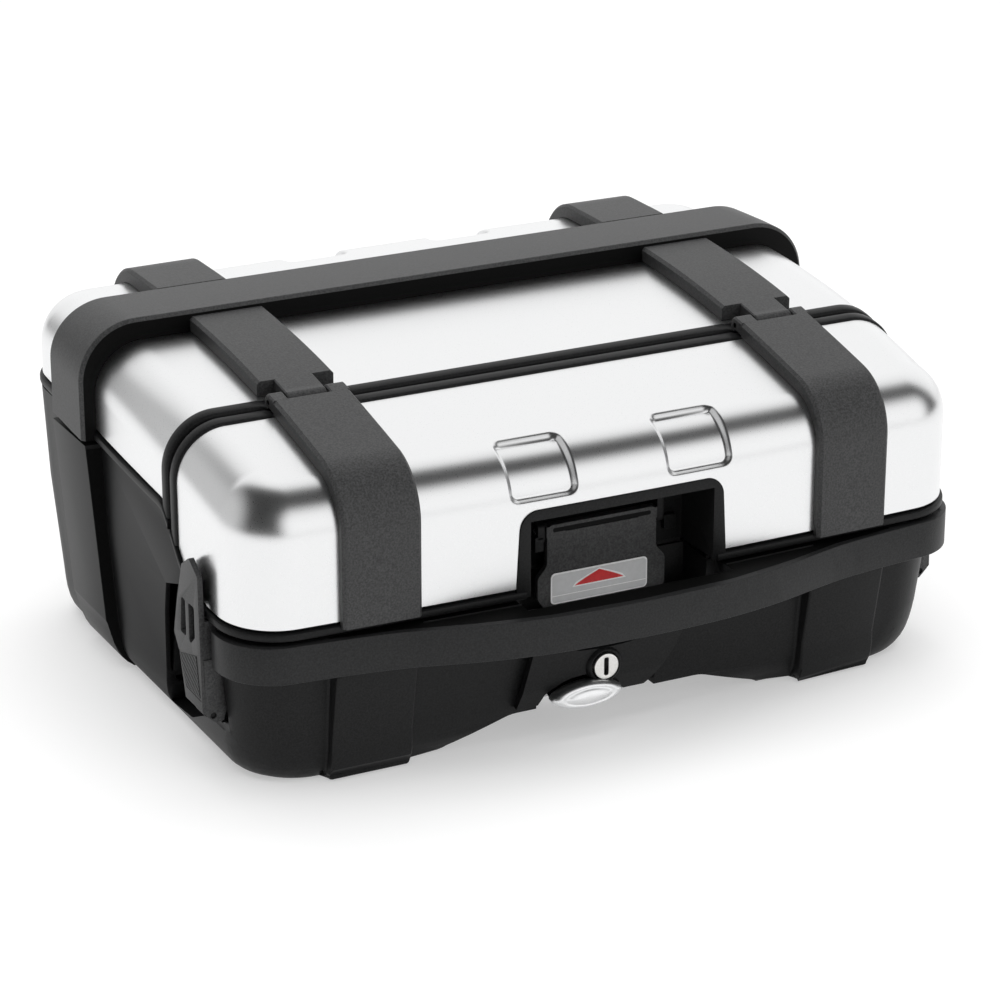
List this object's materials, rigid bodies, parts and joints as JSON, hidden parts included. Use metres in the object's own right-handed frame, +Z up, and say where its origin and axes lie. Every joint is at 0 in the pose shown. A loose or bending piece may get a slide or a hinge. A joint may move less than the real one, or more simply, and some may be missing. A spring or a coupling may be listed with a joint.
{
  "type": "top case",
  "caption": "Motorcycle luggage box with a moulded black base, aluminium-skinned rear lid and front flap, strap hinges, side levers, key lock and carrying bar.",
  "frame": {"origin": "centre of the overall box, at the level the case stands on", "axes": "+Z up, -Y towards the lock and latch, +X to the right seen from the lock side"},
  "size_m": [0.5316, 0.4115, 0.24],
  "materials": {
    "moulding": "fine-textured charcoal black moulding",
    "grained_moulding": "coarser grained charcoal moulding",
    "cover_aluminium": "satin anodised sheet",
    "seal_rubber": "matt rubber",
    "mat_rubber": "ribbed rubber mat",
    "steel": "zinc-plated steel",
    "nickel": "satin nickel",
    "button_silver": "satin silver lacquer",
    "label_silver": "silver-grey printed badge",
    "label_red": "red printed arrow"
  },
  "bodies": {
    "base": {"base_shell": "moulding", "base_rim": "moulding", "base_seal": "seal_rubber", "lock_housing": "moulding", "lock_trim": "moulding", "release_hook_pin": "steel", "mounting_plate": "steel", "hook_bracket": "steel", "floor_mat": "mat_rubber", "striker": "steel", "plate_screws": "steel", "hinge_screws": "steel", "hinge_base_right": "steel", "hinge_base_left": "steel", "hinge_pin_right": "steel", "hinge_pin_left": "steel", "lever_pin_right": "steel", "lever_pin_left": "steel", "lever_bracket_right": "grained_moulding", "lever_bracket_left": "grained_moulding"},
    "rear_lid": {"rear_lid_frame": "moulding", "rear_lid_cover": "cover_aluminium", "cross_band": "grained_moulding", "mid_strap_right": "grained_moulding", "mid_strap_left": "grained_moulding", "rear_strap_right": "grained_moulding", "rear_strap_left": "grained_moulding", "seam_seal": "seal_rubber", "hinge_lid_right": "steel", "hinge_lid_left": "steel"},
    "flap": {"flap_frame": "moulding", "flap_cover": "cover_aluminium", "front_strap_right": "grained_moulding", "front_strap_left": "grained_moulding", "strap_pin_right": "steel", "strap_pin_left": "steel", "handle_recess": "moulding", "latch_pin": "steel", "flap_seal": "seal_rubber"},
    "latch": {"latch_plate": "moulding", "latch_label": "label_silver", "latch_arrow": "label_red", "latch_hook": "steel"},
    "lever_left": {"side_lever_left": "grained_moulding", "lever_grip_left": "grained_moulding"},
    "lever_right": {"side_lever_right": "grained_moulding", "lever_grip_right": "grained_moulding"},
    "key": {"key_cylinder": "nickel", "lock_cam": "steel"},
    "button": {"release_button": "button_silver"},
    "hook": {"release_hook": "steel"}
  },
  "joints": [
    {"name": "lid_open", "type": "hinge", "parent": "base", "child": "rear_lid", "pos_m": [0, 0.2, 0.166], "axis": [-1, 0, 0], "range_deg": [0, 90]},
    {"name": "flap_open", "type": "hinge", "parent": "rear_lid", "child": "flap", "pos_m": [0, -0.069, 0.2165], "axis": [-1, 0, 0], "range_deg": [0, 95]},
    {"name": "latch_lift", "type": "hinge", "parent": "flap", "child": "latch", "pos_m": [0, -0.141, 0.131], "axis": [-1, 0, 0], "range_deg": [0, 50], "stiffness_Nm_per_rad": 0.12, "springref_deg": -20.05},
    {"name": "lever_left_swing", "type": "hinge", "parent": "base", "child": "lever_left", "pos_m": [-0.254, -0.11, 0.043], "axis": [0, -1, 0], "range_deg": [0, 60]},
    {"name": "lever_right_swing", "type": "hinge", "parent": "base", "child": "lever_right", "pos_m": [0.254, -0.11, 0.043], "axis": [0, 1, 0], "range_deg": [0, 60]},
    {"name": "key_turn", "type": "hinge", "parent": "base", "child": "key", "pos_m": [-0.0073, -0.15, 0.0437], "axis": [0, 1, 0], "range_deg": [0, 90]},
    {"name": "release_push", "type": "slide", "parent": "base", "child": "button", "axis": [0, 1, 0], "range_m": [0, 0.005], "stiffness_N_per_m": 600, "springref_m": -0.003},
    {"name": "hook_release", "type": "hinge", "parent": "base", "child": "hook", "pos_m": [0, -0.108, 0.011], "axis": [1, 0, 0], "range_deg": [0, 20]}
  ],
  "couplings": [
    {"joint": "hook_release", "follows": "release_push", "rad_per_m": 69}
  ]
}
